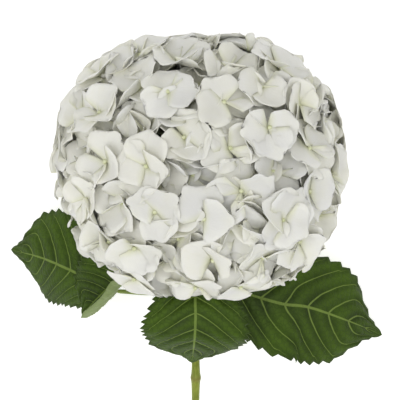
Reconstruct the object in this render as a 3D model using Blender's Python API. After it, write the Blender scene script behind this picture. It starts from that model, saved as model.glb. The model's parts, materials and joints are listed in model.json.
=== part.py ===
"""A cut mophead hydrangea lying on a table, in metres, with +Z up.

The stem runs from its cut end, at -Y, to the flower head, at +Y. The head rests on the table on its lowest
sepals, which are pressed flat, and the stem slopes down until its cut end touches the table as well.
Inside the head the stem ends in a swelling. Rays fan out from it, each ending in a knuckle, and each knuckle
carries several cymes: a stalk that splits into three pedicels with one floret on each. Four leaves on
petioles leave the stem just below the head, in two pairs.
"""

import math
import random

import bmesh
import bpy
import numpy as np
from mathutils import Matrix, Vector
from mathutils.bvhtree import BVHTree

MM = 0.001
SEED = 7
GAP = 0.3 * MM

# The flower head. Half sizes are to the sepals' outer edges, along X, Y and Z from its centre.
HEAD_CENTRE = Vector((1.9, 93.0, 98.0)) * MM
HEAD_HALF = Vector((106.0, 100.5, 104.0)) * MM
HEAD_SQUARENESS = 2.2
HEAD_OPENING = math.radians(38)
HEAD_BULGES = (
    (Vector((0.70, 0.71, 0.05)), 4.0 * MM),
    (Vector((-0.68, 0.73, 0.05)), 4.0 * MM),
    (Vector((0.95, -0.30, 0.05)), 2.5 * MM),
    (Vector((-0.74, -0.67, 0.10)), -13.0 * MM),
    (Vector((0.68, -0.73, 0.10)), -6.0 * MM),
    (Vector((0.20, 0.35, 0.92)), 2.5 * MM),
    (Vector((-0.25, -0.30, 0.92)), -2.0 * MM),
)
BULGE_SHARPNESS = 9

# The stem, whose places are distances from the head's centre towards the cut end.
STEM_CUT = 300 * MM
STEM_RADIUS = 3.1 * MM
STEM_TOP_RADIUS = 2.7 * MM
STEM_SIDEWAYS = -4.0 * MM
STEM_SWELLING = 40 * MM
STEM_SWELLING_RADIUS = 5.4 * MM
UPPER_NODE = 90 * MM
LOWER_NODE = 107 * MM
BARE_NODES = (168 * MM, 240 * MM)
NODE_RADIUS = 4.5 * MM
NODE_HALF_LENGTH = 4.0 * MM

# Rays, and the cymes that they carry.
RAYS = 9
CYMES_PER_RAY = 5
MOST_CYMES_ON_A_RAY = 6
CYMES = RAYS * CYMES_PER_RAY
FLORETS_PER_CYME = 3
RAY_RADIUS = 1.3 * MM
RAY_STANDOFF = 0.7 * MM
KNUCKLE_RADIUS = 3.2 * MM
KNUCKLE_DISTANCE = 46 * MM
HUB_DISTANCE = 71 * MM
HUB_RADIUS = 1.9 * MM
HUB_TOP_RADIUS = 0.8 * MM
HUB_LENGTH = 2.6 * MM
STALK_RADIUS = 0.9 * MM
PEDICEL_RADIUS = 0.65 * MM
SEAT_GAP = 0.45 * MM

# Florets. A sepal's length is from the floret's centre to its tip.
SEPAL_LENGTH = 20.5 * MM
FLORET_RISE = 0.35 * MM
NECK_DEPTH = 1.1 * MM
SHOULDER_REACH = 0.94
TIP_REACH = 1.06
NOTCH_REACH = 0.62
SHOULDER_ANGLE = 0.31
LAYER_STEP = 4.6 * MM
CLEARANCE = 0.5 * MM

# Leaves.
BLADE_THICKNESS = 0.8 * MM
BLADE_STEPS = 6
TEETH = 14
TOOTH_DEPTH = 2.6 * MM
PETIOLE_RADIUS = 1.7 * MM
PETIOLE_RINGS = 6

HEAD_LEAN = math.asin((HEAD_CENTRE.z - STEM_RADIUS) / STEM_CUT)
STEM_AXIS = Vector((0, math.cos(HEAD_LEAN), math.sin(HEAD_LEAN)))
UP = Vector((0, 0, 1))


# ---------------------------------------------------------------- the scene


def clear_scene():
    for obj in list(bpy.data.objects):
        bpy.data.objects.remove(obj)


def make_collection(name):
    made = bpy.data.collections.new(name)
    bpy.context.scene.collection.children.link(made)
    return made


def make_material(name, colour, roughness):
    made = bpy.data.materials.new(name)
    made.use_nodes = True
    shader = made.node_tree.nodes["Principled BSDF"]
    shader.inputs["Base Color"].default_value = (*colour, 1)
    shader.inputs["Roughness"].default_value = roughness
    shader.inputs["Metallic"].default_value = 0.0
    return made


def add_mesh_object(name, bm, place, material, collection):
    """An object at place whose mesh is bm, given in the row frame."""
    bmesh.ops.recalc_face_normals(bm, faces=bm.faces)
    if bm.calc_volume(signed=True) < 0:
        bmesh.ops.reverse_faces(bm, faces=bm.faces)
    bmesh.ops.translate(bm, verts=bm.verts, vec=-place)
    mesh = bpy.data.meshes.new(name)
    bm.to_mesh(mesh)
    bm.free()
    mesh.materials.append(material)
    made = bpy.data.objects.new(name, mesh)
    made.location = place
    collection.objects.link(made)
    return made


def add_tube(name, points, radii, sides, material, collection):
    """A curve object through points, with a radius at each, and caps."""
    curve = bpy.data.curves.new(name, "CURVE")
    curve.dimensions = "3D"
    curve.bevel_depth = 1.0
    curve.bevel_resolution = (sides - 4) // 2
    curve.use_fill_caps = True
    spline = curve.splines.new("POLY")
    spline.points.add(len(points) - 1)
    start = points[0]
    for slot, point, radius in zip(spline.points, points, radii):
        slot.co = (*(point - start), 1)
        slot.radius = radius
    curve.materials.append(material)
    made = bpy.data.objects.new(name, curve)
    made.location = start
    collection.objects.link(made)
    return made


def tree_of(obj):
    """A BVH tree of an object as it is evaluated, in the row frame."""
    graph = bpy.context.evaluated_depsgraph_get()
    evaluated = obj.evaluated_get(graph)
    mesh = evaluated.to_mesh()
    points = [obj.matrix_world @ vertex.co for vertex in mesh.vertices]
    faces = [tuple(face.vertices) for face in mesh.polygons]
    evaluated.to_mesh_clear()
    return BVHTree.FromPolygons(points, faces)


# ---------------------------------------------------------------- directions


def perpendicular(vector):
    """Two unit vectors at right angles to a unit vector and to each other."""
    helper = UP if abs(vector.z) < 0.9 else Vector((1, 0, 0))
    first = vector.cross(helper).normalized()
    return first, vector.cross(first).normalized()


def spiral_directions(count, polar_limit):
    """Evenly spread unit vectors, out to polar_limit from the head's apex."""
    golden = math.pi * (3 - math.sqrt(5))
    side, front = perpendicular(STEM_AXIS)
    found = []
    for i in range(count):
        height = 1 - (1 - math.cos(polar_limit)) * (i + 0.5) / count
        reach = math.sqrt(1 - height * height)
        turn = golden * i
        across = side * math.cos(turn) + front * math.sin(turn)
        found.append(STEM_AXIS * height + across * reach)
    return found


def triangle_around(centre, spread, turn):
    """Three unit vectors at spread from centre, a third of a turn apart."""
    side, front = perpendicular(centre)
    found = []
    for i in range(FLORETS_PER_CYME):
        angle = turn + i * math.tau / FLORETS_PER_CYME
        across = side * math.cos(angle) + front * math.sin(angle)
        found.append((centre + across * math.tan(spread)).normalized())
    return found


def spread_florets(cyme_centres, rng):
    """Floret directions, three for each cyme, pushed apart until they are evenly spaced."""
    polar_limit = math.pi - HEAD_OPENING
    area = math.tau * (1 - math.cos(polar_limit)) / (CYMES * FLORETS_PER_CYME)
    spacing = math.sqrt(area * 2 / math.sqrt(3))
    start = [
        direction
        for centre in cyme_centres
        for direction in triangle_around(centre, spacing * 0.55, rng.uniform(0, math.tau))
    ]
    places = np.array([list(d) for d in start])
    axis = np.array(STEM_AXIS)
    for _ in range(80):
        apart = places[:, None] - places[None]
        distance = np.linalg.norm(apart, axis=2) + np.eye(len(places))
        push = np.clip(1.25 * spacing - distance, 0, None) / distance
        np.fill_diagonal(push, 0)
        moved = places + 0.16 * (apart * push[:, :, None]).sum(axis=1)
        groups = moved.reshape(CYMES, FLORETS_PER_CYME, 3)
        pull = groups.mean(axis=1, keepdims=True) - groups
        moved = (groups + 0.03 * pull).reshape(-1, 3)
        moved /= np.linalg.norm(moved, axis=1, keepdims=True)
        height = moved @ axis
        too_low = height < math.cos(polar_limit)
        across = moved - height[:, None] * axis
        across /= np.linalg.norm(across, axis=1, keepdims=True)
        rim = math.cos(polar_limit) * axis + math.sin(polar_limit) * across
        moved[too_low] = rim[too_low]
        places = moved
    return [Vector(p) for p in places]


def head_radius(direction):
    """Distance from the head's centre to its outer surface, an uneven ball that the table flattens."""
    power = HEAD_SQUARENESS
    total = sum(abs(direction[i] / HEAD_HALF[i]) ** power for i in range(3))
    radius = total ** (-1 / power)
    for middle, amount in HEAD_BULGES:
        radius += amount * math.exp(BULGE_SHARPNESS * (direction.dot(middle) - 1))
    if direction.z < 0:
        radius = min(radius, HEAD_CENTRE.z / -direction.z)
    return radius


# ---------------------------------------------------------------- the stem and its rays


def stem_point(distance):
    """A point on the stem's centre line, by its distance from the head's centre."""
    bow = 2.0 * MM * math.sin(math.pi * distance / STEM_CUT)
    return HEAD_CENTRE - STEM_AXIS * distance + Vector((STEM_SIDEWAYS + bow, 0, 0))


def make_stem(material, collection):
    """The stem, with a ring at each leaf node and a swelling at the top that the rays leave from."""
    top = STEM_SWELLING - STEM_SWELLING_RADIUS
    stations = [
        (top, 0.45 * STEM_SWELLING_RADIUS),
        (top + 2.2 * MM, 0.88 * STEM_SWELLING_RADIUS),
        (STEM_SWELLING, STEM_SWELLING_RADIUS),
        (STEM_SWELLING + 4.5 * MM, 0.8 * STEM_SWELLING_RADIUS),
        (STEM_SWELLING + 12 * MM, STEM_TOP_RADIUS),
    ]
    for node in (UPPER_NODE, LOWER_NODE, *BARE_NODES):
        plain = STEM_TOP_RADIUS if node < LOWER_NODE else STEM_RADIUS
        stations += [
            (node - NODE_HALF_LENGTH, plain),
            (node - 0.3 * NODE_HALF_LENGTH, NODE_RADIUS),
            (node + 0.3 * NODE_HALF_LENGTH, NODE_RADIUS),
            (node + NODE_HALF_LENGTH, STEM_RADIUS),
        ]
    stations.append((STEM_CUT, STEM_RADIUS))
    points = [stem_point(distance) for distance, _ in stations]
    radii = [radius for _, radius in stations]
    return add_tube("stem", points, radii, 10, material, collection)


def share_cymes(cyme_centres, ray_centres):
    """Which ray carries each cyme: the nearest one that has room."""
    pairs = sorted(
        (-cyme.dot(ray), c, r)
        for c, cyme in enumerate(cyme_centres)
        for r, ray in enumerate(ray_centres)
    )
    carried_by, load = {}, [0] * len(ray_centres)
    for _, c, r in pairs:
        if c not in carried_by and load[r] < MOST_CYMES_ON_A_RAY:
            carried_by[c] = r
            load[r] += 1
    return carried_by


def make_ray(number, direction, material, collection):
    """One ray, from the stem's swelling to the knuckle that its cymes sit on. Returns it and the knuckle."""
    knuckle = HEAD_CENTRE + direction * KNUCKLE_DISTANCE
    root = stem_point(STEM_SWELLING)
    along = (knuckle - root).normalized()
    start = root + along * (STEM_SWELLING_RADIUS + RAY_STANDOFF)
    bend = (STEM_AXIS - along * STEM_AXIS.dot(along)) * (2.5 * MM)
    middle = (start + knuckle) / 2 + bend
    near_tip = knuckle - along * (1.5 * KNUCKLE_RADIUS)
    points = [start, middle, near_tip, knuckle - along * 0.6 * KNUCKLE_RADIUS]
    points += [knuckle + along * 0.6 * KNUCKLE_RADIUS, knuckle + along * KNUCKLE_RADIUS]
    radii = [1.15 * RAY_RADIUS, RAY_RADIUS, RAY_RADIUS, KNUCKLE_RADIUS, KNUCKLE_RADIUS]
    radii.append(0.5 * KNUCKLE_RADIUS)
    made = add_tube(f"ray_{number}", points, radii, 8, material, collection)
    return made, knuckle


# ---------------------------------------------------------------- leaves


def smooth_path(points, count):
    """Points evenly placed along a smooth curve through the given ones."""
    ends = [2 * points[0] - points[1], *points, 2 * points[-1] - points[-2]]
    fine = []
    for i in range(1, len(ends) - 2):
        p0, p1, p2, p3 = ends[i - 1 : i + 3]
        for step in range(16):
            t = step / 16
            fine.append(
                0.5
                * (
                    2 * p1
                    + (p2 - p0) * t
                    + (2 * p0 - 5 * p1 + 4 * p2 - p3) * t**2
                    + (3 * p1 - p0 - 3 * p2 + p3) * t**3
                )
            )
    fine.append(points[-1])
    lengths = [0.0]
    for a, b in zip(fine, fine[1:]):
        lengths.append(lengths[-1] + (b - a).length)
    found, k = [], 0
    for i in range(count):
        wanted = lengths[-1] * i / (count - 1)
        while k < len(fine) - 2 and lengths[k + 1] < wanted:
            k += 1
        share = (wanted - lengths[k]) / (lengths[k + 1] - lengths[k])
        found.append(fine[k].lerp(fine[k + 1], min(share, 1.0)))
    return found


def blade_half_width(s):
    """Half width at s, from 0 at the base to 1 at the tip, as a share of the widest."""
    swell = (4 * s * (1 - s)) ** 0.75
    draw_in = min(max((s - 0.76) / 0.21, 0), 1)
    return swell * (1 - 0.45 * draw_in * draw_in * (3 - 2 * draw_in))


def blade_section(share, width, fold, curl):
    """Where a point at share of the half width lies across the midrib: how far out, and how far up."""
    if abs(curl) < 0.01:
        return width * share * math.cos(fold), width * share * math.sin(fold)
    turned = fold + curl * share
    out = width * (math.sin(turned) - math.sin(fold)) / curl
    rise = width * (math.cos(fold) - math.cos(turned)) / curl
    return out, rise


class Leaf:
    """A leaf's driving dimensions. Points are in millimetres from the head's centre."""

    def __init__(self, name, petiole, midrib, half_width, facing, left, right):
        self.name = name
        self.petiole = [HEAD_CENTRE + Vector(p) * MM for p in petiole]
        self.midrib = [HEAD_CENTRE + Vector(p) * MM for p in midrib]
        self.half_width = half_width * MM
        self.facing = Vector(facing).normalized()
        self.left, self.right = left, right

    def frame(self, path, i):
        """The midrib's direction at point i of its path, the leaf's right, and its upper side."""
        along = (path[min(i + 1, len(path) - 1)] - path[max(i - 1, 0)]).normalized()
        right = along.cross(self.facing).normalized()
        return along, right, right.cross(along)


def blade_rows():
    """Places along the blade, each with how far the margin stands out there: a valley, then a tooth."""
    rows = [(0.0, 0.0)]
    for tooth in range(TEETH):
        start = (tooth + 0.1) / TEETH
        rows.append((start, -0.5))
        rows.append((start + 0.62 / TEETH, 0.5))
    rows.append((1.0, 0.0))
    return rows


def petiole_ring(point, along, facing, radius):
    """Points round the petiole, in the order of a blade ring's, starting from the leaf's left."""
    right = along.cross(facing).normalized()
    up = right.cross(along)
    found = []
    for k in range(2 * BLADE_STEPS):
        angle = math.pi * (1 - k / BLADE_STEPS)
        found.append(point + (right * math.cos(angle) + up * math.sin(angle)) * radius)
    return found


def blade_ring(leaf, path, s, tooth):
    """Points across the blade's upper side from left to right, then back along its underside."""
    i = min(int(s * (len(path) - 1)), len(path) - 1)
    along, right, up = leaf.frame(path, i)
    width = max(leaf.half_width * blade_half_width(s), 1.2 * PETIOLE_RADIUS * (1 - s) + 0.4 * MM)
    sweep = 0.09 * leaf.half_width * math.sin(math.pi * s)
    upper, lower = [], []
    for k in range(BLADE_STEPS + 1):
        share = 2 * k / BLADE_STEPS - 1
        at_edge = k in (0, BLADE_STEPS)
        reach = width + (tooth * min(TOOTH_DEPTH, 0.2 * width) if at_edge else 0)
        fold, curl = leaf.right if share > 0 else leaf.left
        out, rise = blade_section(abs(share), reach, math.radians(fold), math.radians(curl))
        point = path[i] + right * math.copysign(out, share) + up * rise + along * sweep * share * share
        if at_edge:
            upper.append(point)
            continue
        keel = (PETIOLE_RADIUS * 0.9 * max(1 - 1.25 * s, 0.12)) if k == BLADE_STEPS // 2 else 0
        upper.append(point + up * BLADE_THICKNESS / 2)
        lower.append(point - up * (BLADE_THICKNESS / 2 + keel))
    return upper + lower[::-1]


def make_leaf(leaf, foot, material, collection):
    """One leaf, lofted from the petiole's foot to the blade's tip, with the midrib as a keel under it."""
    path = smooth_path(leaf.midrib, 400)
    petiole = smooth_path([*foot, *leaf.petiole, path[0]], PETIOLE_RINGS + 1)
    rings = []
    for i in range(PETIOLE_RINGS):
        along = (petiole[i + 1] - petiole[max(i - 1, 0)]).normalized()
        if i == 0:
            along = (foot[1] - foot[0]).normalized()
        radius = PETIOLE_RADIUS * (1.25 if i == 0 else 1.0)
        rings.append(petiole_ring(petiole[i], along, leaf.facing, radius))
    rings += [blade_ring(leaf, path, s, tooth) for s, tooth in blade_rows()]
    bm = bmesh.new()
    laid = [[bm.verts.new(point) for point in ring] for ring in rings]
    around = len(rings[0])
    for lower, upper in zip(laid, laid[1:]):
        for k in range(around):
            after = (k + 1) % around
            bm.faces.new((lower[k], lower[after], upper[after], upper[k]))
    bm.faces.new(laid[0])
    bm.faces.new(laid[-1])
    bmesh.ops.triangulate(bm, faces=bm.faces)
    return add_mesh_object(leaf.name, bm, petiole[0].copy(), material, collection)


def node_surface(distance, towards):
    """A point just off the stem's ring at a leaf node, on the side towards a given point, and one beyond."""
    across = (towards - STEM_AXIS * towards.dot(STEM_AXIS)).normalized()
    foot = stem_point(distance) + across * (NODE_RADIUS + GAP)
    return foot, foot + across * PETIOLE_RADIUS


LEAVES = (
    (
        Leaf(
            name="leaf_right",
            petiole=[(4.5, -84.5, -31)],
            midrib=[
                (10.4, -83.3, -34),
                (33.7, -91.4, -38),
                (63.6, -100.6, -44),
                (86.2, -104.3, -52),
                (119.8, -117, -68),
                (149.1, -130.3, -90),
            ],
            half_width=44,
            facing=(0.1, 0.1, 1),
            left=(-6, -14),
            right=(-4, -16),
        ),
        UPPER_NODE,
        Vector((1, 0, -0.3)),
    ),
    (
        Leaf(
            name="leaf_left",
            petiole=[(-30, -92, -38)],
            midrib=[
                (-63.6, -91.2, -44),
                (-84.1, -82.2, -47),
                (-105.9, -72.7, -54),
                (-126.8, -65.6, -68),
                (-153, -60.8, -91),
            ],
            half_width=42,
            facing=(-0.5, 0.1, 0.85),
            left=(-22, -22),
            right=(4, -18),
        ),
        UPPER_NODE,
        Vector((-1, 0, -0.3)),
    ),
    (
        Leaf(
            name="leaf_lower_left",
            petiole=[(-13, -98, -28), (-29, -88, -22)],
            midrib=[
                (-42, -78, -24),
                (-57, -78.5, -27),
                (-67, -85, -31),
                (-79, -96.5, -40),
                (-91, -109, -51),
            ],
            half_width=31,
            facing=(0, 0.1, 1),
            left=(25, 115),
            right=(-6, -10),
        ),
        LOWER_NODE,
        Vector((-0.6, 0, 0.35)),
    ),
    (
        Leaf(
            name="leaf_front",
            petiole=[(-2.2, -92, -20)],
            midrib=[
                (-2.2, -70, -3),
                (-2.2, -81, 6),
                (-2.2, -93, 11.5),
                (-2.0, -106, 13),
                (-2.8, -123, 4),
                (-5.0, -144, -28),
            ],
            half_width=39,
            facing=(0, -0.25, 1),
            left=(2, -14),
            right=(2, -14),
        ),
        LOWER_NODE,
        Vector((0, 0, 1)),
    ),
)


# ---------------------------------------------------------------- florets


class Floret:
    """Where one floret sits and how its sepals are spread."""

    def __init__(self, direction, rng):
        self.direction = direction
        self.count = rng.choices((3, 4, 5), weights=(1, 10, 1))[0]
        self.turn = rng.uniform(0, math.tau)
        self.lean_turn = rng.uniform(0, math.tau)
        self.lean = abs(rng.gauss(0, math.radians(11)))
        self.size = rng.uniform(0.90, 1.10)
        self.lifts = [rng.gauss(math.radians(3), math.radians(9)) for _ in range(self.count)]
        self.lengths = [rng.uniform(0.92, 1.06) for _ in range(self.count)]
        self.twists = [rng.gauss(0, 0.09) for _ in range(self.count)]

    def settle(self, layer, lean_scale, extra_turn, scale, flatten):
        """Places the floret: its layer below the head's surface, its lean, its turn and its size."""
        side, front = perpendicular(self.direction)
        angle = self.lean_turn + extra_turn
        lean = self.lean * lean_scale
        across = side * math.cos(angle) + front * math.sin(angle)
        outward = self.direction.copy()
        surface = head_radius(self.direction)
        pressed = self.direction.z < 0 and surface * -self.direction.z > HEAD_CENTRE.z - 6 * MM
        if pressed:
            outward = (outward * 0.15 + Vector((0, 0, -1))).normalized()
            lean *= 0.2
        self.normal = (outward + across * math.tan(lean)).normalized()
        self.length = SEPAL_LENGTH * self.size * scale
        self.flatten = flatten
        self.first, self.second = perpendicular(self.normal)
        self.shift = extra_turn
        self.centre = HEAD_CENTRE + self.direction * surface
        if pressed:
            layer = max(layer, 0.0)
        else:
            self.centre -= self.direction * self.overreach()
        self.centre -= self.direction * (layer * LAYER_STEP)

    def overreach(self):
        """How far the highest of the outline's points stands out of the head's surface."""
        spokes = [point - HEAD_CENTRE for point in self.outline()]
        return max(spoke.length - head_radius(spoke.normalized()) for spoke in spokes)

    def outline(self, grow=1.0):
        """Points round the sepals: for each one a tip and two shoulders, with notches between them."""
        found = []
        step = math.tau / self.count
        for j in range(self.count):
            after = (j + 1) % self.count
            length = self.length * self.lengths[j] * grow
            lift = self.lifts[j] * self.flatten
            middle = self.turn + self.shift + j * step
            edge = SHOULDER_ANGLE * step
            notch = 0.5 * self.length * (self.lengths[j] + self.lengths[after]) * NOTCH_REACH * grow
            notch_lift = 0.5 * (lift + self.lifts[after] * self.flatten) * 0.8
            spots = (
                (middle - edge, length * SHOULDER_REACH, lift - self.twists[j] * self.flatten),
                (middle, length * TIP_REACH, lift),
                (middle + edge, length * SHOULDER_REACH, lift + self.twists[j] * self.flatten),
                (middle + step / 2, notch, notch_lift),
            )
            for angle, reach, raised in spots:
                along = self.spoke(angle) * math.cos(raised) + self.normal * math.sin(raised)
                found.append(on_table(self.centre + reach * along))
        return found

    def spoke(self, angle):
        """A unit vector in the floret's own plane."""
        return self.first * math.cos(angle) + self.second * math.sin(angle)

    def eye(self, rise=FLORET_RISE):
        return on_table(self.centre + self.normal * rise)

    def neck(self, depth=NECK_DEPTH):
        return self.centre - self.normal * depth


def on_table(point):
    """The point, no lower than the table."""
    return Vector((point.x, point.y, max(point.z, 0.0)))


def floret_tree(floret, hub, room):
    """A BVH tree of a floret and most of its pedicel, thickened by room on each side."""
    rim = floret.outline(1 + room / SEPAL_LENGTH)
    eye, neck = floret.eye(FLORET_RISE + room), floret.neck(NECK_DEPTH + room)
    root = hub.lerp(neck, 0.3)
    side, front = perpendicular((neck - root).normalized())
    reach = PEDICEL_RADIUS + room
    ring = [side, front, -side, -front]
    points = [*rim, eye, neck]
    faces = []
    n = len(rim)
    for j in range(n):
        faces += [(j, (j + 1) % n, n), ((j + 1) % n, j, n + 1)]
    first = len(points)
    points += [neck + d * reach for d in ring] + [root + d * reach for d in ring]
    for k in range(4):
        after = (k + 1) % 4
        faces.append((first + k, first + after, first + 4 + after, first + 4 + k))
    return BVHTree.FromPolygons([tuple(p) for p in points], faces)


def ways_to_settle(rng):
    """Layers, leans, turns and sizes to try in order, the most natural first."""
    found = []
    for scale in (1.0, 0.93, 0.86, 0.78, 0.7, 0.6, 0.5):
        for layer in (0, 1, 2, 3):
            for lean_scale, flatten in ((1.0, 1.0), (0.5, 0.7), (0.15, 0.4)):
                for turn in (0.0, 0.5, 1.0):
                    found.append((layer + rng.uniform(-0.15, 0.15), lean_scale, turn, scale, flatten))
    return found


def settle_florets(florets, hubs, obstacles, rng):
    """Gives every floret a place where it touches nothing. Returns those that found one."""
    placed, trees = [], []
    order = sorted(range(len(florets)), key=lambda i: (i * 7) % 15)
    reach = 2.3 * SEPAL_LENGTH
    for i in order:
        floret, hub = florets[i], hubs[i // FLORETS_PER_CYME]
        for way in ways_to_settle(rng):
            floret.settle(*way)
            mine = floret_tree(floret, hub, CLEARANCE)
            near = [t for other, t in zip(placed, trees) if (other.centre - floret.centre).length < reach]
            if not any(mine.overlap(tree) for tree in near + obstacles):
                placed.append(floret)
                trees.append(floret_tree(floret, hub, 0.0))
                break
    return placed


def match_ports(ports, florets, centre):
    """Pairs each port of a hub with the floret that it points to best, one to one."""
    pairs = sorted(
        (-(port.calc_center_median() - centre).normalized().dot((f.centre - centre).normalized()), i, j)
        for i, port in enumerate(ports)
        for j, f in enumerate(florets)
    )
    port_of = {}
    for _, i, j in pairs:
        if j not in port_of and i not in port_of.values():
            port_of[j] = i
    return [(florets[j], ports[i]) for j, i in port_of.items()]


def grow_floret(bm, port, floret):
    """Draws a hub's port out into a pedicel and closes it with a floret. The port face is used up."""
    corners = [loop.vert for loop in port.loops]
    neck = floret.neck()

    def ring_from(start):
        return [neck + floret.spoke(start + k * math.pi / 2) * PEDICEL_RADIUS for k in range(4)]

    def stretch(start):
        return sum((point - corner.co).length for point, corner in zip(ring_from(start), corners))

    untwisted = min((i * math.tau / 24 for i in range(24)), key=stretch)
    ring = [bm.verts.new(point) for point in ring_from(untwisted)]
    bm.faces.remove(port)
    for k in range(4):
        after = (k + 1) % 4
        bm.faces.new((corners[k], corners[after], ring[after], ring[k]))
    rim = [bm.verts.new(point) for point in floret.outline()]
    eye = bm.verts.new(floret.eye())
    n = len(rim)
    for j in range(n):
        bm.faces.new((rim[j], rim[(j + 1) % n], eye))
    spokes = [vert.co - neck for vert in ring]
    nearest = [max(range(4), key=lambda k, p=v.co - neck: spokes[k].dot(p.normalized())) for v in rim]
    for j in range(n):
        after = (j + 1) % n
        bm.faces.new((rim[after], rim[j], ring[nearest[j]]))
        if nearest[j] != nearest[after]:
            bm.faces.new((rim[after], ring[nearest[j]], ring[nearest[after]]))


def make_cyme(number, hub, florets, knuckle, knuckle_tree, material, collection):
    """One cyme: a stalk from its ray's knuckle to a hub, and a pedicel with a floret on each of its sides."""
    along = (hub - knuckle).normalized()
    side, front = perpendicular(along)
    bm = bmesh.new()
    bmesh.ops.create_cone(
        bm,
        cap_ends=True,
        segments=FLORETS_PER_CYME,
        radius1=HUB_RADIUS,
        radius2=HUB_TOP_RADIUS,
        depth=HUB_LENGTH,
    )
    turn = best_turn(bm, florets, hub, side, front)
    to_row = Matrix((side, front, along)).transposed().to_4x4()
    place = Matrix.Translation(hub) @ to_row @ Matrix.Rotation(turn, 4, "Z")
    bmesh.ops.transform(bm, matrix=place, verts=bm.verts)
    bm.faces.ensure_lookup_table()
    foot = min(bm.faces, key=lambda face: face.calc_center_median().dot(along))
    seat, *_ = knuckle_tree.ray_cast(hub, -along)
    base = seat + along * SEAT_GAP
    stretched = bmesh.ops.extrude_face_region(bm, geom=[foot])
    bm.faces.remove(foot)
    moved = [v for v in stretched["geom"] if isinstance(v, bmesh.types.BMVert)]
    for vertex in moved:
        across = vertex.co - hub
        across -= along * across.dot(along)
        vertex.co = base + across.normalized() * STALK_RADIUS
    ports = [face for face in bm.faces if len(face.verts) == 4 and is_port(face, moved)]
    for floret, port in match_ports(ports, florets, hub):
        grow_floret(bm, port, floret)
    return add_mesh_object(f"floret_cluster_{number:02d}", bm, hub, material, collection)


def is_port(face, stalk_verts):
    """A hub's side, not one of the stalk's."""
    return not any(vertex in stalk_verts for vertex in face.verts)


def best_turn(bm, florets, hub, side, front):
    """How far to turn a hub about its stalk so that its sides face its florets."""
    sides = [face.normal for face in bm.faces if len(face.verts) == 4]
    wanted = [f.centre - hub for f in florets]
    angles = [math.atan2(w.dot(front), w.dot(side)) for w in wanted]

    def match(turn):
        faces = [math.atan2(n.y, n.x) + turn for n in sides]
        return sum(max(math.cos(a - f) for f in faces) for a in angles)

    return max((i * math.tau / 72 for i in range(72)), key=match)


# ---------------------------------------------------------------- the whole flower


clear_scene()
flower = make_collection("cut_hydrangea")
stem_green = make_material("stem_green", (0.22, 0.28, 0.04), 0.5)
leaf_green = make_material("leaf_green", (0.045, 0.085, 0.012), 0.45)
sepal_white = make_material("sepal_white", (0.78, 0.79, 0.70), 0.6)

random_source = random.Random(SEED)
stem = make_stem(stem_green, flower)
leaves = []
for leaf, node, towards in LEAVES:
    leaves.append(make_leaf(leaf, node_surface(node, towards), leaf_green, flower))

cyme_centres = spiral_directions(CYMES, math.pi - HEAD_OPENING - 0.14)
directions = spread_florets(cyme_centres, random_source)
groups = [directions[i : i + FLORETS_PER_CYME] for i in range(0, len(directions), FLORETS_PER_CYME)]
cyme_centres = [sum(group, Vector()).normalized() for group in groups]
carried_by = share_cymes(cyme_centres, spiral_directions(RAYS, math.pi - HEAD_OPENING - 0.4))

rays = {}
for r in range(RAYS):
    carried = [cyme_centres[c] for c in range(CYMES) if carried_by[c] == r]
    if carried:
        rays[r] = make_ray(r + 1, sum(carried, Vector()).normalized(), stem_green, flower)
bpy.context.view_layer.update()
ray_trees = {r: tree_of(made) for r, (made, _) in rays.items()}
obstacles = [tree_of(obj) for obj in (stem, *leaves)] + list(ray_trees.values())

hubs = [HEAD_CENTRE + centre * (HUB_DISTANCE * head_radius(centre) / HEAD_HALF.x) for centre in cyme_centres]
florets = [Floret(direction, random_source) for direction in directions]
settled = settle_florets(florets, hubs, obstacles, random_source)

for c in range(CYMES):
    mine = [f for f in florets[c * FLORETS_PER_CYME : (c + 1) * FLORETS_PER_CYME] if f in settled]
    ray = carried_by[c]
    make_cyme(c + 1, hubs[c], mine, rays[ray][1], ray_trees[ray], sepal_white, flower)
print("florets placed:", len(settled), "of", len(florets))
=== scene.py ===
"""The looks of a cut mophead hydrangea lying on a white table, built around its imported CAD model.

Each CAD floret gives its four or so sepals their place, size and tilt, and Geometry Nodes puts a modelled
sepal on each and a small bud in the middle. The leaves are rebuilt along the CAD's midribs with veins and
finer teeth, and the stem and the florets' stalks are the CAD's own shapes made round.
"""

import json
import math
import random
import bmesh
import bpy
from mathutils import Matrix, Vector

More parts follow.
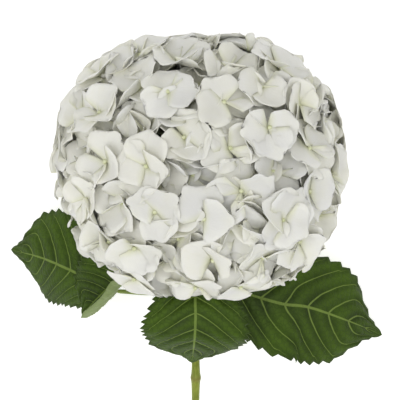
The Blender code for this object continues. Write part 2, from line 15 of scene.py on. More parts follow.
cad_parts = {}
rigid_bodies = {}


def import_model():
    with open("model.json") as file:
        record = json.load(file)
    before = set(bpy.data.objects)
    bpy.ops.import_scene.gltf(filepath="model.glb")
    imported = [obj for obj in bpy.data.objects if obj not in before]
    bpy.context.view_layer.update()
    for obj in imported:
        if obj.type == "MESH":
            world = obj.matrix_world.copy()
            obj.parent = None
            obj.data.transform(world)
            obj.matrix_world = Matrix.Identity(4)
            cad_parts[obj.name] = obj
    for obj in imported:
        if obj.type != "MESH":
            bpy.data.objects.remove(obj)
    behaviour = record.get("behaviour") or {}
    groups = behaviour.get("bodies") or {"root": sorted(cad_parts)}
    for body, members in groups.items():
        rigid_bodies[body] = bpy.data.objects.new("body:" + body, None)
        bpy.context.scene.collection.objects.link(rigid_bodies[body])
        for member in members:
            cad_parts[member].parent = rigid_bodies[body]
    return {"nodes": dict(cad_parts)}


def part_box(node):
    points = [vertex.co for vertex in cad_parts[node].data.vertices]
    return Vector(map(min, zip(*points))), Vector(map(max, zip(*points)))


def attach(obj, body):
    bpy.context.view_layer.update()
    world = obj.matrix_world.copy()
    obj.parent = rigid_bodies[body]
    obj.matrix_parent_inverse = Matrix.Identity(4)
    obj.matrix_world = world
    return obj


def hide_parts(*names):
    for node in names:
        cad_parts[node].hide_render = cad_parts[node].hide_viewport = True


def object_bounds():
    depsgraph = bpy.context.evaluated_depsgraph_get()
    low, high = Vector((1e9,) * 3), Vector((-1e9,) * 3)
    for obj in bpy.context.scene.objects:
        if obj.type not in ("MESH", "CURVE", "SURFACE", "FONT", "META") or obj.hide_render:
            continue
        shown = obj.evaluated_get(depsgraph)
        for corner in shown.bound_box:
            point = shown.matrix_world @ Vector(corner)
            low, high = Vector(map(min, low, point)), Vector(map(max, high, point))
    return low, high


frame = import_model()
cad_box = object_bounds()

MM = 0.001
SEED = 5
NODES = frame["nodes"]
CLUSTERS = sorted(name for name in NODES if name.startswith("floret_cluster"))
RAYS = sorted(name for name in NODES if name.startswith("ray_"))

# The height of the head's middle above the table.
HEAD_RISE = 98 * MM

# Sepal shapes. Lengths are shares of the length from a floret's centre to the sepal's tip.
SEPAL_VARIANTS = 10
SEPAL_WIDTH = 1.30
SEPAL_THICKNESS = 0.014
SEPAL_ROWS = (0.0, 0.13, 0.30, 0.48, 0.66, 0.82, 0.93, 1.0)
SEPAL_COLUMNS = (-1.0, -0.72, -0.36, 0.0, 0.36, 0.72, 1.0)

# How sepals sit on a floret: growth past the CAD's lobe, opposite pairs one above the other, and random roll,
# lift and sway in radians.
SEPAL_GROWTH = 1.10
PAIR_STEP = 0.35 * MM
SEPAL_ROLL = 0.20
SEPAL_LIFT = 0.10
SEPAL_SWAY = 0.22

# A ripple that bends neighbouring sepals together, and a rounded box round the head that pulls in what stands
# out of it.
RIPPLE = 5.0 * MM
RIPPLES_PER_METRE = 62.0
HUG_FROM = 0.965
HUG_STRENGTH = 0.6
HUG_SQUARENESS = 2.6

# A second, inner layer of florets behind the gaps: its depth as a share of the head, and its step aside.
INNER_DEPTH = 0.87
INNER_SHIFT = 13 * MM
INNER_LEAN = 0.35

BUD_RADIUS = 1.7 * MM
BUD_SIDES = 8
# Each ring of a bud: its radius and height, as shares of the bud's radius.
BUD_RINGS = ((0.0, -0.9), (0.85, -0.5), (1.0, 0.1), (0.72, 0.62), (0.22, 0.82))
# A CAD floret's eye touches this many edges: four for each of three, four or five sepals.
EYE_EDGES = (12, 16, 20)

# Leaves.
LEAF_ROWS = 144
LEAF_COLUMNS = 36
LEAF_TEETH = 16
TOOTH_DEPTH = 3.4 * MM
BLADE_THICKNESS = 0.45 * MM
PETIOLE_RADIUS = 1.7 * MM
SIDE_VEINS = 8
VEIN_SWEEP = 0.30
VEIN_CURVE = 1.35
QUILT_HEIGHT = 1.25 * MM
MIDRIB_GROOVE = 1.0 * MM
MIDRIB_POINTS = 401
MIDRIB_END = 340
MIDRIB_STEP = 12
CURVE_STEPS = 24

# The stem, whose rings stand out from its plain radius, and whose cut face is at its low end.
RING_FROM = 3.6 * MM
RING_STEP = 0.6 * MM
CUT_DEPTH = 1.2 * MM
STEM_ROUNDING = 3

# Table, lamps and surround.
TABLE_SIZE = 2.0
TABLE_DROP = 0.5 * MM
TABLE_GLOW = 0.45
SURROUND_STRENGTH = 0.60
KEY_PLACE = (-0.5, -0.35, 1.3)
KEY_SIZE = 0.9
KEY_WATTS = 6
FILL_PLACE = (0.7, -0.2, 1.2)
FILL_SIZE = 1.0
FILL_WATTS = 3

# The camera looks straight down from above the head.
CAMERA_HEIGHT = 0.82
CAMERA_LENS = 100
VIEW_BELOW_HEAD = 24.4 * MM

rng = random.Random(SEED)


# ---------------------------------------------------------------- colour and node helpers


def linear(code):
    """A linear colour from an sRGB hex code."""
    parts = [int(code[i : i + 2], 16) / 255 for i in (1, 3, 5)]
    return (*[p / 12.92 if p <= 0.04045 else ((p + 0.055) / 1.055) ** 2.4 for p in parts], 1.0)


class Tree:
    """A node tree being written: add() makes a node, sets its inputs and links its sources."""

    def __init__(self, tree):
        self.tree = tree

    def add(self, kind, inputs=None, **settings):
        node = self.tree.nodes.new(kind)
        for name, value in settings.items():
            setattr(node, name, value)
        for name, value in (inputs or {}).items():
            socket = node.inputs[name]
            if isinstance(value, bpy.types.NodeSocket):
                self.tree.links.new(value, socket)
            else:
                socket.default_value = value
        return node

    def math(self, operation, a, b=0.0, c=0.0):
        return self.add("ShaderNodeMath", {0: a, 1: b, 2: c}, operation=operation).outputs[0]

    def vector(self, operation, a, b):
        return self.add("ShaderNodeVectorMath", {0: a, 1: b}, operation=operation).outputs[0]

    def ramp(self, value, low, high, to_low=0.0, to_high=1.0):
        """Value mapped smoothly from low..high to to_low..to_high."""
        inputs = {"Value": value, 1: low, 2: high, 3: to_low, 4: to_high}
        return self.add("ShaderNodeMapRange", inputs, interpolation_type="SMOOTHSTEP").outputs[0]

    def noise(self, vector, per_metre, detail=3.0, roughness=0.5):
        inputs = {"Vector": vector, "Scale": per_metre, "Detail": detail, "Roughness": roughness}
        return self.add("ShaderNodeTexNoise", inputs).outputs["Fac"]

    def mix(self, factor, a, b, blend="MIX"):
        node = self.add("ShaderNodeMix", data_type="RGBA", blend_type=blend)
        for socket, value in ((node.inputs[0], factor), (node.inputs[6], a), (node.inputs[7], b)):
            if isinstance(value, bpy.types.NodeSocket):
                self.tree.links.new(value, socket)
            else:
                socket.default_value = value
        return node.outputs[2]

    def bump(self, height, strength, distance):
        inputs = {"Height": height, "Strength": strength, "Distance": distance}
        return self.add("ShaderNodeBump", inputs).outputs["Normal"]


def new_material(name):
    """A material with a Principled shader, and its tree and shader."""
    made = bpy.data.materials.new(name)
    made.use_nodes = True
    return made, Tree(made.node_tree), made.node_tree.nodes["Principled BSDF"]


# ---------------------------------------------------------------- materials


def sepal_tissue():
    """Living white sepal. Thin wet cells scatter light inside, so it is soft and never shiny: nearly white at
    the margin, cream to pale green at the claw, with fine veins that fan out from the claw."""
    made, t, shader = new_material("sepal_tissue")
    uv = t.add("ShaderNodeUVMap", uv_map="blade").outputs["UV"]
    parts = t.add("ShaderNodeSeparateXYZ", {0: uv})
    across, along = parts.outputs[0], parts.outputs[1]
    place = t.add("ShaderNodeTexCoord").outputs["Object"]
    tint = t.add("ShaderNodeAttribute", attribute_name="tint").outputs["Fac"]
    white = t.mix(tint, linear("#F1F0E4"), linear("#ECECE6"))
    cloud = t.noise(place, 60.0, 2.0)
    white = t.mix(t.ramp(cloud, 0.4, 0.75, 0.0, 0.4), white, linear("#E9E8D2"))
    green = t.ramp(along, 0.30, 0.0, 0.0, 0.6)
    colour = t.mix(green, white, linear("#DADCAE"))
    fan = t.math("DIVIDE", t.math("SUBTRACT", across, 0.5), t.math("ADD", along, 0.22))
    veins = t.math("ABSOLUTE", t.math("SINE", t.math("MULTIPLY", fan, 30.0)))
    vein = t.ramp(veins, 0.22, 0.0)
    colour = t.mix(t.math("MULTIPLY", vein, 0.08), colour, linear("#D2D2B4"))
    t.tree.links.new(colour, shader.inputs["Base Color"])
    crinkle = t.math("ADD", t.math("MULTIPLY", vein, -0.4), t.noise(place, 420.0, 2.0))
    t.tree.links.new(t.bump(crinkle, 0.35, 0.25 * MM), shader.inputs["Normal"])
    shader.inputs["Roughness"].default_value = 0.62
    shader.inputs["Specular IOR Level"].default_value = 0.28
    shader.inputs["Sheen Weight"].default_value = 0.12
    shader.inputs["Subsurface Weight"].default_value = 0.3
    shader.inputs["Subsurface Radius"].default_value = (1.0, 1.0, 0.8)
    shader.inputs["Subsurface Scale"].default_value = 2.0 * MM
    return made


def bud_tissue():
    """The tiny closed flower in a floret's middle: waxy, pale green and a little glossy."""
    made, t, shader = new_material("bud_tissue")
    place = t.add("ShaderNodeTexCoord").outputs["Object"]
    mottle = t.noise(place, 500.0, 2.0)
    colour = t.mix(t.ramp(mottle, 0.3, 0.7), linear("#CDD3A2"), linear("#E2E4C6"))
    t.tree.links.new(colour, shader.inputs["Base Color"])
    shader.inputs["Roughness"].default_value = 0.45
    return made


def stalk_tissue():
    """Young pedicels and rays: mottled pale green, with a faint down."""
    made, t, shader = new_material("stalk_tissue")
    place = t.add("ShaderNodeTexCoord").outputs["Object"]
    mottle = t.noise(place, 150.0, 3.0)
    colour = t.mix(t.ramp(mottle, 0.3, 0.7), linear("#A9B56A"), linear("#C3CB92"))
    t.tree.links.new(colour, shader.inputs["Base Color"])
    shader.inputs["Roughness"].default_value = 0.55
    shader.inputs["Sheen Weight"].default_value = 0.15
    return made


def stem_bark():
    """A green hydrangea cane: smooth yellow-green skin with fine lengthwise ribs, short corky lenticels, and
    browner skin round each ring where leaves have dropped."""
    made, t, shader = new_material("green_cane")
    place = t.add("ShaderNodeTexCoord").outputs["Object"]
    stretch = t.add("ShaderNodeMapping", {"Vector": place, "Scale": (1.0, 0.06, 1.0)}).outputs[0]
    ribs = t.noise(stretch, 900.0, 3.0)
    cloud = t.noise(place, 45.0, 3.0)
    colour = t.mix(t.ramp(cloud, 0.3, 0.7), linear("#6E7A22"), linear("#8A9636"))
    colour = t.mix(t.ramp(ribs, 0.42, 0.7, 0.0, 0.45), colour, linear("#A3AC50"))
    specks = t.add("ShaderNodeMapping", {"Vector": place, "Scale": (1.0, 0.35, 1.0)}).outputs[0]
    cells = t.add("ShaderNodeTexVoronoi", {"Vector": specks, "Scale": 420.0}).outputs["Distance"]
    spots = t.math("MULTIPLY", t.ramp(cells, 0.24, 0.14), t.ramp(t.noise(place, 160.0), 0.55, 0.65))
    colour = t.mix(t.math("MULTIPLY", spots, 0.6), colour, linear("#8A6E42"))
    ring = t.add("ShaderNodeAttribute", attribute_name="ring").outputs["Fac"]
    colour = t.mix(t.math("MULTIPLY", ring, 0.5), colour, linear("#7F6F3A"))
    cut = t.add("ShaderNodeAttribute", attribute_name="cut_face").outputs["Fac"]
    colour = t.mix(cut, colour, linear("#D3D3A4"))
    t.tree.links.new(colour, shader.inputs["Base Color"])
    t.tree.links.new(t.bump(t.math("ADD", ribs, spots), 0.4, 0.3 * MM), shader.inputs["Normal"])
    shader.inputs["Roughness"].default_value = 0.42
    shader.inputs["Specular IOR Level"].default_value = 0.3
    return made


def leaf_tissue():
    """A leathery hydrangea leaf: dark green with a thin waxy cuticle that gives a broad, soft sheen. Veins
    are paler and sunken above, the quilting between them has painted light on its crests, a lighter green
    there, and the underside is greyer."""
    made, t, shader = new_material("leaf_tissue")
    uv = t.add("ShaderNodeUVMap", uv_map="blade").outputs["UV"]
    parts = t.add("ShaderNodeSeparateXYZ", {0: uv})
    across, along = parts.outputs[0], parts.outputs[1]
    place = t.add("ShaderNodeTexCoord").outputs["Object"]
    share = t.math("ABSOLUTE", t.math("SUBTRACT", t.math("MULTIPLY", across, 2.0), 1.0))
    sweep = t.math("MULTIPLY", t.math("POWER", share, VEIN_CURVE), VEIN_SWEEP)
    waver = t.math("MULTIPLY", t.math("SUBTRACT", t.noise(place, 60.0, 1.0), 0.5), 0.02)
    start = t.math("ADD", t.math("SUBTRACT", along, sweep), waver)
    phase = t.math("FRACT", t.math("ADD", t.math("MULTIPLY", start, SIDE_VEINS), 0.5))
    from_vein = t.math("ABSOLUTE", t.math("SUBTRACT", phase, 0.5))
    half_wide = t.ramp(share, 0.0, 1.0, 0.062, 0.028)
    side_vein = t.ramp(t.math("DIVIDE", from_vein, half_wide), 1.0, 0.35)
    side_vein = t.math("MULTIPLY", side_vein, t.ramp(share, 1.0, 0.82))
    midrib = t.ramp(t.math("DIVIDE", share, t.ramp(along, 0.0, 1.0, 0.045, 0.02)), 1.0, 0.5)
    primary = t.math("MAXIMUM", side_vein, midrib)
    cells = t.add("ShaderNodeTexVoronoi", {"Vector": place, "Scale": 260.0}, feature="DISTANCE_TO_EDGE")
    mesh_vein = t.ramp(cells.outputs["Distance"], 0.11, 0.02)
    cloud = t.noise(place, 28.0, 3.0)
    # Painted light: the crests of the quilting between the side veins are painted a lighter green, as if lit.
    crest = t.ramp(from_vein, 0.1, 0.5)
    colour = t.mix(t.ramp(cloud, 0.3, 0.7), linear("#2A3C08"), linear("#3F5711"))
    colour = t.mix(t.math("MULTIPLY", crest, 0.35), colour, linear("#557020"))
    colour = t.mix(t.math("MULTIPLY", mesh_vein, 0.28), colour, linear("#22330A"))
    edge = t.ramp(share, 0.80, 1.0)
    colour = t.mix(t.math("MULTIPLY", edge, 0.35), colour, linear("#2B3C10"))
    colour = t.mix(t.math("MULTIPLY", primary, 0.55), colour, linear("#8CA34F"))
    under = t.add("ShaderNodeAttribute", attribute_name="underside").outputs["Fac"]
    pale = t.mix(t.math("MULTIPLY", primary, 0.6), linear("#8B9B68"), linear("#B3BF8C"))
    colour = t.mix(under, colour, pale)
    t.tree.links.new(colour, shader.inputs["Base Color"])
    height = t.math("SUBTRACT", t.math("MULTIPLY", t.noise(place, 330.0, 3.0), 0.5), mesh_vein)
    height = t.math("SUBTRACT", height, t.math("MULTIPLY", primary, 0.8))
    t.tree.links.new(t.bump(height, 0.55, 0.35 * MM), shader.inputs["Normal"])
    t.tree.links.new(t.ramp(cloud, 0.3, 0.7, 0.42, 0.58), shader.inputs["Roughness"])
    shader.inputs["Specular IOR Level"].default_value = 0.16
    return made


def petiole_tissue():
    """A petiole: juicy, smooth and yellow-green, paler than the blade."""
    made, t, shader = new_material("petiole_tissue")
    place = t.add("ShaderNodeTexCoord").outputs["Object"]
    cloud = t.noise(place, 120.0, 3.0)
    colour = t.mix(t.ramp(cloud, 0.3, 0.7), linear("#7E9038"), linear("#9DAD5B"))
    t.tree.links.new(colour, shader.inputs["Base Color"])
    shader.inputs["Roughness"].default_value = 0.45
    return made


def table_surface():
    """A plain matt white table."""
    made, _, shader = new_material("white_table")
    shader.inputs["Base Color"].default_value = linear("#FAFAFA")
    shader.inputs["Roughness"].default_value = 0.9
    shader.inputs["Specular IOR Level"].default_value = 0.0
    shader.inputs["Emission Color"].default_value = (1, 1, 1, 1)
    shader.inputs["Emission Strength"].default_value = TABLE_GLOW
    return made


SEPAL = sepal_tissue()
BUD = bud_tissue()
STALK = stalk_tissue()
CANE = stem_bark()
LEAF = leaf_tissue()
PETIOLE = petiole_tissue()


# ---------------------------------------------------------------- mesh helpers


def mesh_from(name, points, faces):
    made = bpy.data.meshes.new(name)
    made.from_pydata([tuple(p) for p in points], [], faces)
    made.update()
    return made


def new_object(name, mesh, collection=None):
    made = bpy.data.objects.new(name, mesh)
    (collection or bpy.context.scene.collection).objects.link(made)
    return made


def smooth(mesh):
    mesh.polygons.foreach_set("use_smooth", [True] * len(mesh.polygons))


def closed_sheet(rows, columns, top, thickness):
    """Points and faces of a thin closed sheet: top[row][column] gives a point and its normal."""
    points = [p + n * thickness / 2 for row in top for p, n in row]
    points += [p - n * thickness / 2 for row in top for p, n in row]
    under = rows * columns
    faces = []
    for i in range(rows - 1):
        for j in range(columns - 1):
            a = i * columns + j
            faces.append((a, a + 1, a + columns + 1, a + columns))
            faces.append((under + a, under + a + columns, under + a + columns + 1, under + a + 1))
    rim = [j for j in range(columns)]
    rim += [i * columns + columns - 1 for i in range(1, rows)]
    rim += [(rows - 1) * columns + j for j in range(columns - 2, -1, -1)]
    rim += [i * columns for i in range(rows - 2, 0, -1)]
    for a, b in zip(rim, rim[1:] + rim[:1]):
        faces.append((b, a, under + a, under + b))
    return points, faces


def finish_sheet(mesh, place_of):
    """Writes the blade UV map, place_of giving each vertex's place, and makes the mesh smooth and outward."""
    bm = bmesh.new()
    bm.from_mesh(mesh)
    bmesh.ops.recalc_face_normals(bm, faces=bm.faces)
    bm.to_mesh(mesh)
    bm.free()
    uv = mesh.uv_layers.new(name="blade")
    for loop in mesh.loops:
        uv.data[loop.index].uv = place_of(loop.vertex_index)
    smooth(mesh)


# ---------------------------------------------------------------- sepals and buds


def sepal_half_width(u):
    """Half width at u, from 0 at the claw to 1 at the tip, as a share of the widest."""
    fullness = 1 - abs(2 * u**0.78 - 1) ** 2.9
    return max(fullness, 0.0) ** 0.5


def make_sepal(number, collection):
    """A broad, blunt sepal, its base at the origin and its tip at Y = 1, cupped and waved at the margin."""
    cup = rng.uniform(0.10, 0.62)
    arch = rng.uniform(-0.34, 0.30)
    wave, waves, turn = rng.uniform(0.04, 0.11), rng.uniform(5, 9), rng.uniform(0, math.tau)
    skew, point = rng.uniform(-0.06, 0.06), rng.uniform(0.04, 0.12)
    rows, columns = len(SEPAL_ROWS), len(SEPAL_COLUMNS)

    def surface(u, v):
        half = max(sepal_half_width(u), 0.10 + 0.22 * u) * SEPAL_WIDTH / 2
        x = v * half + skew * math.sin(math.pi * u)
        y = u - (0.10 * u**3 + point * u**4) * v * v
        margin = wave * math.sin(waves * u + turn + 2.2 * v) * v * v * u
        z = cup * (v * half) ** 2 * 2 + arch * u * u * (1.2 - u) + margin
        return Vector((x, y, z))

    top = []
    for u in SEPAL_ROWS:
        row = []
        for v in SEPAL_COLUMNS:
            p = surface(u, v)
            along = surface(u + 0.01, v) - surface(u - 0.01 if u > 0.01 else u, v)
            across = surface(u, v + 0.01) - surface(u, v - 0.01)
            row.append((p, across.cross(along).normalized()))
        top.append(row)
    points, faces = closed_sheet(rows, columns, top, SEPAL_THICKNESS)
    mesh = mesh_from(f"sepal_{number:02d}", points, faces)

    def place_of(index):
        row, column = divmod(index % (rows * columns), columns)
        return SEPAL_COLUMNS[column] / 2 + 0.5, SEPAL_ROWS[row]

    finish_sheet(mesh, place_of)
    return new_object(f"sepal_{number:02d}", mesh, collection)


def make_bud(collection):
    """A closed bud: a squat ball with four lobes meeting at its top."""
    sides = BUD_SIDES
    points = []
    for radius, height in BUD_RINGS:
        for k in range(sides):
            lobe = 1.0 if k % 2 else 0.84
            angle = math.tau * k / sides
            dip = 0.0 if k % 2 else -0.12 * radius
            out = radius * lobe
            points.append(Vector((math.cos(angle) * out, math.sin(angle) * out, height + dip)))
    faces = []
    for i in range(len(BUD_RINGS) - 1):
        for k in range(sides):
            a, b = i * sides + k, i * sides + (k + 1) % sides
            faces.append((a, b, b + sides, a + sides))
    faces.append(tuple(range(len(points) - sides, len(points))))
    mesh = mesh_from("bud", points, faces)
    bm = bmesh.new()
    bm.from_mesh(mesh)
    bmesh.ops.remove_doubles(bm, verts=bm.verts, dist=0.001)
    bmesh.ops.recalc_face_normals(bm, faces=bm.faces)
    bm.to_mesh(mesh)
    bm.free()
    smooth(mesh)
    return new_object("bud", mesh, collection)


# ---------------------------------------------------------------- reading the CAD's florets


class Floret:
    """A CAD floret: its centre, its normal and the tip and width direction of each sepal."""

    def __init__(self, eye):
        self.centre = eye.co.copy()
        around = self.ring(eye)
        reach = [(p - self.centre).length for p in around]
        n = len(around)
        notches = [i for i in range(n) if reach[i] < reach[i - 1] and reach[i] <= reach[(i + 1) % n]]
        self.normal = Vector()
        for i in range(n):
            a, b = around[i] - self.centre, around[(i + 1) % n] - self.centre
            self.normal += a.cross(b)
        if self.normal.dot(eye.normal) < 0:
            self.normal.negate()
        self.normal.normalize()
        self.sepals = []
        for start, end in zip(notches, notches[1:] + [notches[0] + n]):
            lobe = [around[i % n] - self.centre for i in range(start + 1, end)]
            tip = lobe[len(lobe) // 2]
            self.sepals.append((tip, lobe[-1] - lobe[0]))

    def ring(self, eye):
        """The outline's points, in order round the eye."""
        after = {}
        for face in eye.link_faces:
            verts = list(face.verts)
            k = verts.index(eye)
            after[verts[(k + 1) % 3]] = verts[(k + 2) % 3]
        start = next(iter(sorted(after, key=lambda v: v.index)))
        found, at = [], start
        while True:
            found.append(at.co.copy())
            at = after[at]
            if at is start:
                return found


def read_cluster(name):
    """A cluster's florets, and its stalks as a mesh with the florets taken off."""
    bm = bmesh.new()
    bm.from_mesh(NODES[name].data)
    bmesh.ops.remove_doubles(bm, verts=bm.verts, dist=0.001 * MM)
    bm.verts.index_update()
    bm.normal_update()
    eyes = [v for v in bm.verts if len(v.link_edges) in EYE_EDGES]
    florets = [Floret(eye) for eye in eyes]
    sheet = {v for eye in eyes for edge in eye.link_edges for v in edge.verts}
    bmesh.ops.delete(bm, geom=[f for f in bm.faces if any(v in sheet for v in f.verts)], context="FACES")
    bmesh.ops.delete(bm, geom=[v for v in bm.verts if not v.link_faces], context="VERTS")
    bmesh.ops.holes_fill(bm, edges=bm.edges, sides=8)
    mesh = bpy.data.meshes.new(name + "_stalks")
    bm.to_mesh(mesh)
    bm.free()
    return florets, mesh


def inner_floret(floret):
    """A floret like the given one but deeper in the head, aside and turned, to fill the gaps."""
    copy = Floret.__new__(Floret)
    side = floret.sepals[0][0].normalized()
    turn = Matrix.Rotation(rng.uniform(0, math.tau), 3, floret.normal)
    lean = Matrix.Rotation(rng.gauss(0, INNER_LEAN), 3, side)
    aside = turn @ side * INNER_SHIFT
    copy.centre = head_centre + (floret.centre + aside - head_centre) * INNER_DEPTH
    copy.normal = lean @ floret.normal
    copy.sepals = [(lean @ turn @ tip, lean @ turn @ spread) for tip, spread in floret.sepals]
    return copy


def sepal_points(florets):
    """A mesh of one point per sepal and bud, with the turn, size, shape number and tint of each."""
    places, turns, sizes, kinds, tints = [], [], [], [], []
    for floret in florets + [inner_floret(floret) for floret in florets]:
        shade = rng.random()
        for j, (tip, spread) in enumerate(floret.sepals):
            along = tip.normalized()
            up = spread.cross(along)
            if up.dot(floret.normal) < 0:
                up.negate()
            up.normalize()
            turn = Matrix((along.cross(up), along, up)).transposed()
            roll = Matrix.Rotation(rng.gauss(0, SEPAL_ROLL), 3, "Y")
            turn = turn @ roll @ Matrix.Rotation(rng.gauss(SEPAL_LIFT, SEPAL_SWAY), 3, "X")
            length = tip.length * SEPAL_GROWTH
            lift = PAIR_STEP if j % 2 else -PAIR_STEP
            places.append(floret.centre + floret.normal * lift)
            turns.append(tuple(turn.to_euler()))
            sizes.append((length * rng.uniform(0.94, 1.06), length, length))
            kinds.append(rng.randrange(SEPAL_VARIANTS))
            tints.append(min(max(shade + rng.gauss(0, 0.15), 0), 1))
        places.append(floret.centre + floret.normal * 0.6 * BUD_RADIUS)
        turns.append(tuple(floret.normal.to_track_quat("Z", "Y").to_euler()))
        sizes.append((BUD_RADIUS,) * 3)
        kinds.append(-1)
        tints.append(shade)
    mesh = mesh_from("sepal_points", places, [])
    layers = (
        ("turn", "FLOAT_VECTOR", "vector", [x for row in turns for x in row]),
        ("size", "FLOAT_VECTOR", "vector", [x for row in sizes for x in row]),
        ("kind", "INT", "value", kinds),
        ("tint", "FLOAT", "value", tints),
    )
    for name, kind, field, values in layers:
        mesh.attributes.new(name, kind, "POINT").data.foreach_set(field, values)
    return mesh


# ---------------------------------------------------------------- the floret cluster's Geometry Nodes


def cluster_tree():
    """Sepals and buds on points, rippled by noise, joined with the rounded stalks."""
    tree = bpy.data.node_groups.new("floret_cluster", "GeometryNodeTree")
    sockets = {}
    for name, kind in (
        ("Points", "NodeSocketGeometry"),
        ("Sepals", "NodeSocketCollection"),
        ("Bud", "NodeSocketObject"),
        ("Stalks", "NodeSocketObject"),
        ("Ripple", "NodeSocketFloat"),
        ("Ripples per metre", "NodeSocketFloat"),
        ("Head centre", "NodeSocketVector"),
        ("Head half size", "NodeSocketVector"),
        ("Table height", "NodeSocketFloat"),
    ):
        sockets[name] = tree.interface.new_socket(name, in_out="INPUT", socket_type=kind).identifier
    tree.interface.new_socket("Cluster", in_out="OUTPUT", socket_type="NodeSocketGeometry")
    t = Tree(tree)
    given = t.add("NodeGroupInput").outputs

    def named(name, kind):
        return t.add("GeometryNodeInputNamedAttribute", {"Name": name}, data_type=kind).outputs[0]

    kind = named("kind", "INT")
    placing = {"Points": given["Points"], "Rotation": named("turn", "FLOAT_VECTOR")}
    placing["Scale"] = named("size", "FLOAT_VECTOR")
    shapes = t.add("GeometryNodeCollectionInfo", {"Collection": given["Sepals"]})
    shapes.inputs["Separate Children"].default_value = True
    shapes.inputs["Reset Children"].default_value = True
    is_sepal = t.add("FunctionNodeCompare", data_type="INT", operation="GREATER_THAN")
    for slot in is_sepal.inputs:
        if slot.identifier == "A_INT":
            tree.links.new(kind, slot)
        if slot.identifier == "B_INT":
            slot.default_value = -1
    is_bud = t.add("FunctionNodeBooleanMath", {0: is_sepal.outputs[0]}, operation="NOT").outputs[0]
    sepals = t.add(
        "GeometryNodeInstanceOnPoints",
        {**placing, "Selection": is_sepal.outputs[0], "Instance": shapes.outputs[0], "Instance Index": kind},
    )
    sepals.inputs["Pick Instance"].default_value = True
    realized = t.add("GeometryNodeRealizeInstances", {"Geometry": sepals.outputs[0]}).outputs[0]
    where = t.add("GeometryNodeInputPosition").outputs[0]
    waves = {"Vector": where, "Scale": given["Ripples per metre"], "Detail": 1.0}
    field = t.add("ShaderNodeTexNoise", waves).outputs["Color"]
    centred = t.add("ShaderNodeVectorMath", {0: field, 1: (0.5, 0.5, 0.5)}, operation="SUBTRACT").outputs[0]
    move = t.add("ShaderNodeVectorMath", {0: centred, "Scale": given["Ripple"]}, operation="SCALE").outputs[0]
    rippled = t.add("GeometryNodeSetPosition", {"Geometry": realized, "Offset": move}).outputs[0]

    centre, half = given["Head centre"], given["Head half size"]
    from_centre = t.vector("SUBTRACT", where, centre)
    shares = t.add("ShaderNodeSeparateXYZ", {0: t.vector("DIVIDE", from_centre, half)}).outputs
    powers = [t.math("POWER", t.math("ABSOLUTE", share), HUG_SQUARENESS) for share in shares]
    total = t.math("ADD", t.math("ADD", powers[0], powers[1]), powers[2])
    reach = t.math("POWER", total, 1 / HUG_SQUARENESS)
    excess = t.math("MULTIPLY", t.math("MAXIMUM", t.math("SUBTRACT", reach, HUG_FROM), 0.0), HUG_STRENGTH)
    kept = t.math("DIVIDE", t.math("SUBTRACT", reach, excess), reach)
    pulled = t.add("ShaderNodeVectorMath", {0: from_centre, "Scale": kept}, operation="SCALE").outputs[0]
    hugged = t.vector("ADD", pulled, centre)
    floor = t.add("ShaderNodeCombineXYZ", {0: -10.0, 1: -10.0, 2: given["Table height"]}).outputs[0]
    settled = t.vector("MAXIMUM", hugged, floor)
    shaped = t.add("GeometryNodeSetPosition", {"Geometry": rippled, "Position": settled}).outputs[0]
    sepal_skin = t.add("GeometryNodeSetMaterial", {"Geometry": shaped, "Material": SEPAL}).outputs[0]

    bud = t.add("GeometryNodeObjectInfo", {"Object": given["Bud"]}).outputs["Geometry"]
    buds = t.add("GeometryNodeInstanceOnPoints", {**placing, "Selection": is_bud, "Instance": bud}).outputs[0]
    buds = t.add("GeometryNodeRealizeInstances", {"Geometry": buds}).outputs[0]
    bud_skin = t.add("GeometryNodeSetMaterial", {"Geometry": buds, "Material": BUD}).outputs[0]

    stalks = t.add("GeometryNodeObjectInfo", {"Object": given["Stalks"]}).outputs["Geometry"]
    round_stalks = t.add("GeometryNodeSubdivisionSurface", {"Mesh": stalks, "Level": 1}).outputs[0]
    stalk_skin = t.add("GeometryNodeSetMaterial", {"Geometry": round_stalks, "Material": STALK}).outputs[0]

    join = t.add("GeometryNodeJoinGeometry")
    for skin in (sepal_skin, bud_skin, stalk_skin):
        tree.links.new(skin, join.inputs[0])
    smoothed = t.add("GeometryNodeSetShadeSmooth", {"Geometry": join.outputs[0]}).outputs[0]
    out = t.add("NodeGroupOutput")
    tree.links.new(smoothed, out.inputs[0])
    return tree, sockets


def evaluated_copy(obj, name):
    """A plain mesh object made from obj with its modifiers applied."""
    graph = bpy.context.evaluated_depsgraph_get()
    mesh = bpy.data.meshes.new_from_object(obj.evaluated_get(graph), depsgraph=graph)
    mesh.name = name
    return new_object(name, mesh)


def dress_clusters():
    """Replaces each CAD cluster with its modelled sepals, buds and stalks."""
    moulds = bpy.data.collections.new("moulds")
    bpy.context.scene.collection.children.link(moulds)
    sepals = bpy.data.collections.new("sepal_moulds")
    moulds.children.link(sepals)
    for number in range(SEPAL_VARIANTS):
        make_sepal(number, sepals)
    bud = make_bud(moulds)
    tree, sockets = cluster_tree()
    for node in CLUSTERS:
        florets, stalk_mesh = read_cluster(node)
        stalks = new_object(node + "_stalks", stalk_mesh, moulds)
        points = new_object(node + "_points", sepal_points(florets), moulds)
        modifier = points.modifiers.new("cluster", "NODES")
        modifier.node_group = tree
        modifier[sockets["Sepals"]] = sepals
        modifier[sockets["Bud"]] = bud
        modifier[sockets["Stalks"]] = stalks
        modifier[sockets["Ripple"]] = RIPPLE
        modifier[sockets["Ripples per metre"]] = RIPPLES_PER_METRE
        modifier[sockets["Head centre"]] = head_centre
        modifier[sockets["Head half size"]] = (head_high - head_low) / 2
        modifier[sockets["Table height"]] = cad_box[0].z
        bpy.context.view_layer.update()
        piece = evaluated_copy(points, "sepals_" + node[-2:])
        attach(piece, "root")
        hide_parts(node)
        for used in (points, stalks):
            bpy.data.objects.remove(used)
    for mould in list(sepals.objects) + [bud]:
        bpy.data.objects.remove(mould)
    bpy.data.collections.remove(sepals)
    bpy.data.collections.remove(moulds)


# ---------------------------------------------------------------- leaves


